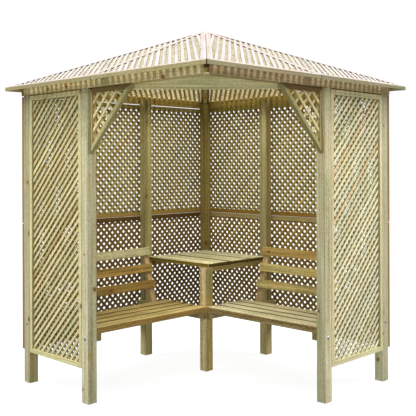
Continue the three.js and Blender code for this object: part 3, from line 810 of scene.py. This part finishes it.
# u > 0 is the half at -x before turning; the eave rail is the first of a half with u < 0 and of one with u > 0
# the last number of each side multiplies the colour of its eave rail's sides: painted light and shade on the fascia
SIDES = (
    ("front_left", math.pi, {+1: "mid", -1: "side"}, "roof_front", 51, (1.02, 1.05, 0.56)),
    ("front_right", -math.pi / 2, {+1: "side", -1: "mid"}, "roof_front", 61, (0.83, 0.85, 0.53)),
    ("rear_left", math.pi / 2, {+1: "side", -1: "mid"}, "roof_rear", 71, (0.8, 0.78, 0.62)),
    ("rear_right", 0.0, {+1: "mid", -1: "side"}, "roof_rear", 81, (0.8, 0.78, 0.62)),
)
NONE = (None, None, None)
LIT_TOPS = tuple(paint("roof_front_" + k) for k in ("frame", "laths", "under"))
SHADED_UNDERSIDES = tuple(paint("roof_rear_" + k) for k in ("frame", "laths", "under"))
for side_name, turn, halves, base, seed, eave_edge in SIDES:
    for half, part in halves.items():
        # at the front the top laths run along the diagonal from the back corner to the front corner, at the rear the lower ones
        top = -Q if side_name in ("front_left", "rear_right") else Q
        if base == "roof_rear":
            top = -top
        # painted light and shade: the sides of the hip and middle rails are painted dark, as shade where the lath gaps
        # end; the laths' sides are painted lighter or darker; the rear panels take the lit colours on top and the front
        # panels the shaded colours underneath
        roof_panel("roof_trellis_" + side_name + "_" + part, turn, half, paint(base + "_frame"), paint(base + "_laths"),
                   paint(base + "_under"), [eave_edge, (0.27, 0.21, 0.10), (0.27, 0.21, 0.10)],
                   (0.86, 0.83, 0.74) if base == "roof_front" else (1.0, 0.95, 0.8), seed + (0 if half > 0 else 5), top,
                   LIT_TOPS if base == "roof_rear" else NONE, SHADED_UNDERSIDES if base == "roof_front" else NONE)

# ---- CAD boards: bevels and timber -----------------------------------------------------------------
X, Y, Z = (1, 0, 0), (0, 1, 0), (0, 0, 1)
D = (1, -1, 0)  # from the back corner to the front corner
E = (1, 1, 0)
lean = math.radians(16.1)
BOARDS = {}


def boards(names, along, across, **k):
    for n_ in names:
        BOARDS[n_] = (along, across, k)


boards(["post_left_outer", "post_right_outer"], Z, X, wood={"streak": 0.52, "mottle": 0.35})
boards(["post_left_front", "post_right_front"], Z, X, wood={"streak": 0.62, "mottle": 0.6})
boards(["post_back_corner"], Z, X, wood={"streak": 0.8, "mottle": 0.5})
# painted light and shade: the rear and table posts are painted lighter or darker along their height, the table post's
# side darker above the seat as the table's shade
boards(["post_left_rear"], Z, X, wood={"streak": 0.8, "mottle": 0.5, "fades": [(Z, 0.4, 1.15, (1.6, 1.6, 1.8), "side")]})
boards(["post_right_rear"], Z, X, wood={"streak": 0.8, "mottle": 0.5, "fades": [(Z, 0.3, 0.8, (2.3, 2.3, 2.5), "base"), (Z, 1.75, 1.5, (1.35, 1.35, 1.35), "base")]})
boards(["post_table"], Z, X, wood={"streak": 0.8, "mottle": 0.5, "fades": [(Z, 0.52, 0.44, (0.60, 0.74, 0.88), "side")]})
boards(["plate_front_left", "plate_rear_right"], X, Y)
boards(["plate_front_right", "plate_rear_left"], Y, X)
boards(["front_header"], E, Z)
boards(["hip_rafter_front", "hip_rafter_back"], D, E)
boards(["hip_rafter_left", "hip_rafter_right"], E, D)
boards(["left_bearer_outer", "left_bearer_inner"], X, Z)
boards(["right_bearer_outer", "right_bearer_inner"], Y, Z)
# painted shade and highlight: the seat slats' sides and rounded arrises are painted dark, as shade in the joints
# between them, and the front slat's front arris and the back slats' arrises are painted pale as a highlight
for i in range(1, 5):
    rounded = {"bevel": 0.0075, "wood": {"streak": 0.9, "mottle": 0.4, "turn": (0.66, 0.9) if i == 1 else (0.12, 0.35), "worn": 0.9 if i == 1 else 0.0}}
    boards([f"left_seat_slat_{i}"], Y, X, **rounded)
    boards([f"right_seat_slat_{i}"], X, Y, **rounded)
for i in range(1, 4):
    boards([f"left_back_slat_{i}"], Y, (math.sin(-lean), 0, math.cos(lean)), bevel=0.003, wood={"streak": 1.05, "worn": 0.6})
    boards([f"right_back_slat_{i}"], X, (0, math.sin(lean), math.cos(lean)), bevel=0.003, wood={"streak": 1.05, "worn": 0.6})
boards(["left_back_support_outer", "left_back_support_inner"], (math.sin(-lean), 0, math.cos(lean)), Y)
boards(["right_back_support_outer", "right_back_support_inner"], (0, math.sin(lean), math.cos(lean)), X)
boards(["table_board_front"], X, Y, bevel=0.0035, wood={"streak": 1.0, "mottle": 0.4, "turn": (0.75, 0.95), "worn": 0.8})
for n_, much in (("middle", (0.24, 0.20, 0.12)), ("back", (0.5, 0.45, 0.36))):
    # painted shade in the joints: the middle and back boards are painted darker along their front edges and on their
    # sides and rounded arrises; the front board's arris is painted pale as a highlight
    edge_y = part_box("table_board_" + n_)[0].y
    boards(["table_board_" + n_], X, Y, bevel=0.006, wood={"streak": 1.0, "mottle": 0.4, "turn": (0.12, 0.4), "worn": 0.0,
           "fades": [(Y, edge_y + 0.012, edge_y + 0.045, much, "base")]})
boards(["table_cleat_front", "table_cleat_rear"], Y, X)

for i, (name, (along, across, opt)) in enumerate(sorted(BOARDS.items())):
    obj = nodes[name]
    base, side = paint(name), paint(name + "/side", name)
    end = paint(name + "/end", name, (0.62, 0.56, 0.44))
    mat = board_material("timber_" + name, base, side, end, along, across, 900 + i, **opt.get("wood", {}))
    obj.data.materials.clear()
    obj.data.materials.append(mat)
    w = obj.modifiers.new("weld", "WELD")
    w.merge_threshold = 0.00005
    d = obj.modifiers.new("flat", "DECIMATE")
    d.decimate_type = "DISSOLVE"
    d.angle_limit = math.radians(0.3)
    b = obj.modifiers.new("arris", "BEVEL")
    b.width = opt.get("bevel", 0.002)
    b.segments = 3 if b.width > 0.0025 else 2
    b.limit_method = "ANGLE"
    b.angle_limit = math.radians(20)

# ---- bolt and screw heads --------------------------------------------------------------------------


def metal_material(name, base, other, roughness):
    mat = new_material(name)
    n = Net(mat.node_tree)
    bsdf = next(x for x in mat.node_tree.nodes if x.type == "BSDF_PRINCIPLED")
    tc = n.add("ShaderNodeTexCoord")
    spangle = n.noise(n.vmath("MULTIPLY", tc.outputs["Object"], (420.0, 420.0, 420.0)), detail=2.0)
    n.link(n.mix(n.range(spangle, 0.35, 0.65, 0.0, 1.0, smooth=True), base, other), bsdf.inputs["Base Color"])
    n.link(n.range(spangle, 0.3, 0.7, roughness - 0.1, roughness + 0.12), bsdf.inputs["Roughness"])
    bsdf.inputs["Metallic"].default_value = 0.85
    return mat


def heads(name, spots, profile, material, sides=14):
    """Turned heads: profile lists (radius, height over the wood); spots lists (centre on the wood, normal)."""
    verts, faces = [], []
    for centre, normal in spots:
        w = Vector(normal).normalized()
        u = w.orthogonal().normalized()
        v = w.cross(u)
        start = len(verts)
        for radius, height in profile:
            for i in range(sides):
                t = 2 * math.pi * i / sides
                verts.append(tuple(Vector(centre) + u * (radius * math.cos(t)) + v * (radius * math.sin(t)) + w * height))
        faces.append([start + i for i in reversed(range(sides))])
        for q in range(len(profile) - 1):
            for i in range(sides):
                j = (i + 1) % sides
                a, b = start + q * sides, start + (q + 1) * sides
                faces.append([a + i, a + j, b + j, b + i])
        faces.append([start + (len(profile) - 1) * sides + i for i in range(sides)])
    mesh = bpy.data.meshes.new(name)
    mesh.from_pydata(verts, [], faces)
    mesh.update()
    mesh.materials.append(material)
    obj = bpy.data.objects.new(name, mesh)
    bpy.context.scene.collection.objects.link(obj)
    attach(obj, "root")
    return obj


def middle(node):
    lo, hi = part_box(node)
    return (Vector(lo) + Vector(hi)) / 2, Vector(lo), Vector(hi)


ZINC = metal_material("galvanised_steel", (0.42, 0.47, 0.52), (0.30, 0.35, 0.40), 0.45)
SCREW = metal_material("passivated_screw_steel", (0.40, 0.32, 0.16), (0.26, 0.21, 0.12), 0.5)
# coach bolts: domed heads on the outer faces of the posts and on the bearers beside the inner posts
DOME = [(0.0098, -0.0002), (0.0098, 0.0012), (0.0086, 0.0030), (0.0058, 0.0043), (0.0022, 0.0048)]
# screws: flat heads with a recess, just proud of the wood
FLAT = [(0.0042, -0.0002), (0.0042, 0.0004), (0.0036, 0.0006), (0.0019, 0.0006), (0.0012, 0.0001)]
bolts = []
_, lo_, hi_ = middle("left_bearer_outer")
level = (lo_.z + hi_.z) / 2
for post in ("post_left_outer", "post_left_front"):
    c_, lo_, hi_ = middle(post)
    bolts.append(((c_.x, lo_.y, level), (0, -1, 0)))
for post in ("post_right_front", "post_right_outer"):
    c_, lo_, hi_ = middle(post)
    bolts.append(((hi_.x, c_.y, level), (1, 0, 0)))
c_, lo_, hi_ = middle("left_bearer_inner")
for post in ("post_left_rear", "post_table"):
    bolts.append(((middle(post)[0].x, lo_.y, c_.z), (0, -1, 0)))
c_, lo_, hi_ = middle("right_bearer_inner")
for post in ("post_right_rear", "post_table"):
    bolts.append(((hi_.x, middle(post)[0].y, c_.z), (1, 0, 0)))
heads("coach_bolt_heads", bolts, DOME, ZINC)

for side, along in (("left", 1), ("right", 0)):
    ends = [middle(f"{side}_bearer_{k}")[0][along] for k in ("outer", "inner")]
    spots = []
    for i in range(1, 5):
        c_, lo_, hi_ = middle(f"{side}_seat_slat_{i}")
        for e_ in ends:
            for off in (-0.021, 0.021):
                at = [c_.x, c_.y, hi_.z]
                at[along] = min(max(e_, lo_[along] + 0.02), hi_[along] - 0.02)
                at[1 - along] += off
                spots.append((tuple(at), (0, 0, 1)))
    heads(f"{side}_seat_screws", spots, FLAT, SCREW, 10)
    ends = [middle(f"{side}_back_support_{k}")[0][along] for k in ("outer", "inner")]
    out = Vector((math.cos(lean), 0, math.sin(lean))) if side == "left" else Vector((0, -math.cos(lean), math.sin(lean)))
    up = Vector((-math.sin(lean), 0, math.cos(lean))) if side == "left" else Vector((0, math.sin(lean), math.cos(lean)))
    spots = []
    for i in range(1, 4):
        c_, lo_, hi_ = middle(f"{side}_back_slat_{i}")
        for e_ in ends:
            for off in (-0.014, 0.014):
                at = c_ + out * 0.010 + up * off
                at[along] = min(max(e_, lo_[along] + 0.02), hi_[along] - 0.02)
                spots.append((tuple(at), tuple(out)))
    heads(f"{side}_back_screws", spots, FLAT, SCREW, 10)
spots = []
for board in ("front", "middle", "back"):
    c_, lo_, hi_ = middle("table_board_" + board)
    for cleat in ("front", "rear"):
        for off in (-0.06, 0.06):
            x_ = min(max(middle("table_cleat_" + cleat)[0].x, lo_.x + 0.03), hi_.x - 0.03)
            spots.append(((x_, c_.y + off, hi_.z), (0, 0, 1)))
heads("table_screws", spots, FLAT, SCREW, 10)

# ---- stage: floor, backdrop, lights, camera --------------------------------------------------------


def emission_material(name, colour, strength, diffuse=0.0):
    mat = new_material(name)
    bsdf = next(x for x in mat.node_tree.nodes if x.type == "BSDF_PRINCIPLED")
    bsdf.inputs["Base Color"].default_value = (diffuse, diffuse, diffuse, 1)
    bsdf.inputs["Roughness"].default_value = 1.0
    bsdf.inputs["Specular IOR Level"].default_value = 0.0
    bsdf.inputs["Emission Color"].default_value = (*colour, 1)
    bsdf.inputs["Emission Strength"].default_value = strength
    return mat


def disc(name, radius, z, material, rings=1, dome=False):
    verts, faces = [], []
    k = 96
    if dome:
        m = 24
        for i in range(m + 1):
            t = math.pi / 2 * i / m
            for j in range(k):
                a = 2 * math.pi * j / k
                verts.append((radius * math.cos(t) * math.cos(a), radius * math.cos(t) * math.sin(a), z + radius * math.sin(t)))
        for i in range(m):
            for j in range(k):
                faces.append((i * k + j, (i + 1) * k + j, (i + 1) * k + (j + 1) % k, i * k + (j + 1) % k))
    else:
        for j in range(k):
            a = 2 * math.pi * j / k
            verts.append((radius * math.cos(a), radius * math.sin(a), z))
        faces.append(tuple(range(k)))
    mesh = bpy.data.meshes.new(name)
    mesh.from_pydata(verts, [], faces)
    mesh.update()
    mesh.materials.append(material)
    o = bpy.data.objects.new(name, mesh)
    bpy.context.scene.collection.objects.link(o)
    return o


floor = disc("floor", 15.0, -0.0006, emission_material("floor_white", (1, 1, 1), 0.93, 0.12))
floor.visible_diffuse = False
floor.visible_glossy = False
back = disc("backdrop", 15.0, -0.002, emission_material("backdrop_white", (1, 1, 1), 1.05), dome=True)
for attr in ("visible_diffuse", "visible_glossy", "visible_transmission", "visible_shadow", "visible_volume_scatter"):
    setattr(back, attr, False)

SKY, GROUND = 0.34, 0.46
world = bpy.data.worlds.new("studio")
bpy.context.scene.world = world
world.use_nodes = True
wn = Net(world.node_tree)
bg = next(x for x in world.node_tree.nodes if x.type == "BACKGROUND")
tc = wn.add("ShaderNodeTexCoord")
sep = wn.add("ShaderNodeSeparateXYZ")
wn.link(tc.outputs["Generated"], sep.inputs[0])
up = wn.range(sep.outputs["Z"], -0.15, 0.15, 0.0, 1.0, smooth=True)
wn.link(wn.mix(up, (GROUND, GROUND * 0.985, GROUND * 0.95), (SKY * 0.99, SKY, SKY * 1.02)), bg.inputs["Color"])
bg.inputs["Strength"].default_value = 1.0


def sun(name, towards, elevation, strength, angle, colour=(1, 1, 1)):
    light = bpy.data.lights.new(name, "SUN")
    light.energy = strength
    light.angle = math.radians(angle)
    light.color = colour
    o = bpy.data.objects.new(name, light)
    bpy.context.scene.collection.objects.link(o)
    h = Vector((towards[0], towards[1], 0)).normalized() * math.cos(math.radians(elevation))
    d = Vector((h.x, h.y, math.sin(math.radians(elevation))))
    o.rotation_euler = d.to_track_quat("Z", "Y").to_euler()
    return o


# tall narrow lamps on both sides: what comes through the roof falls on the plates in upright stripes
for k, (elevation, strength) in enumerate(((24, 0.55), (33, 0.45), (42, 0.5), (51, 0.8), (60, 1.3), (68, 1.5))):
    sun(f"left_{k + 1}", (-1.12, -1.0), elevation, strength, 2.0, (1.0, 0.985, 0.955))
    sun(f"right_{k + 1}", (1.0, 1.12), elevation, strength, 2.0, (1.0, 0.985, 0.955))
sun("front", (1.0, -1.0), 28, 0.64, 35)
sun("back", (-1.0, 1.0), 50, 0.8, 20)

# a soft lamp under the roof, for the benches and the table
lamp_data = bpy.data.lights.new("under_roof", "AREA")
lamp_data.shape = "SQUARE"
lamp_data.size = 1.2
lamp_data.energy = 11.0
lamp = bpy.data.objects.new("under_roof", lamp_data)
lamp.location = (0.0, 0.0, 1.84)
lamp.visible_camera = False
bpy.context.scene.collection.objects.link(lamp)

cam_data = bpy.data.cameras.new("camera")
cam = bpy.data.objects.new("camera", cam_data)
bpy.context.scene.collection.objects.link(cam)
cam_data.sensor_width = 36.0
cam_data.sensor_fit = "HORIZONTAL"
cam_data.lens = 751.0 / 416.0 * 36.0
cam_data.shift_x = 2.05 / 416.0
cam_data.shift_y = -43.88 / 416.0
r2 = math.sqrt(0.5)
fwd, right, upv = Vector((-r2, r2, 0)), Vector((r2, r2, 0)), Vector((0, 0, 1))
cy, sy = math.cos(0.0042), math.sin(0.0042)
fwd, right = cy * fwd + sy * right, cy * right - sy * fwd
cp, sp = math.cos(0.001), math.sin(0.001)
fwd, upv = cp * fwd + sp * upv, cp * upv - sp * fwd
cr, sr = math.cos(-0.0034), math.sin(-0.0034)
right, upv = cr * right + sr * upv, cr * upv - sr * right
base_fwd, base_right = Vector((-r2, r2, 0)), Vector((r2, r2, 0))
pos = (-base_fwd * 3.4828 + base_right * -0.0145 + Vector((0, 0, 1))) * 1.42
cam.matrix_world = Matrix((
    (right.x, upv.x, -fwd.x, pos.x),
    (right.y, upv.y, -fwd.y, pos.y),
    (right.z, upv.z, -fwd.z, pos.z),
    (0, 0, 0, 1),
))
bpy.context.scene.camera = cam
bpy.context.scene.view_settings.view_transform = "Standard"
bpy.context.scene.view_settings.look = "None"
bpy.context.scene.view_settings.exposure = 0.0
bpy.context.scene.view_settings.gamma = 1.0
